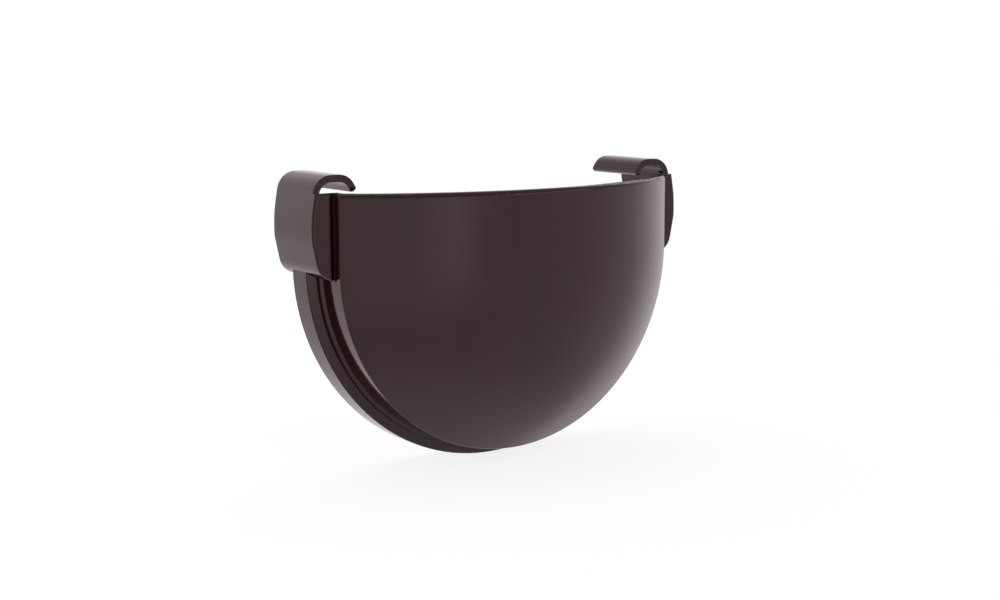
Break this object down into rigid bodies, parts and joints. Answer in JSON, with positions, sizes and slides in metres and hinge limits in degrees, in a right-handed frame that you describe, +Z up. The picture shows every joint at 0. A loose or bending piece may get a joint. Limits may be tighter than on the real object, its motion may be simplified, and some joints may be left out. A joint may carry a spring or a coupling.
{
  "type": "gutter end cap",
  "caption": "End cap for a half-round gutter: domed face, stepped rim with a collar over the gutter's end, and hooked snap clips for the gutter's edges.",
  "frame": {"origin": "on the axis of the half-round, in the plane where the gutter's end stops", "axes": "+Z up, +Y along the gutter out of the cap's socket, -Y the way the domed face looks, X across the gutter from clip to clip"},
  "size_m": [0.136, 0.0487, 0.0927],
  "materials": {
    "pvc": "glossy as moulded, dark chocolate brown"
  },
  "bodies": {
    "root": {"end_cap": "pvc"}
  },
  "joints": []
}
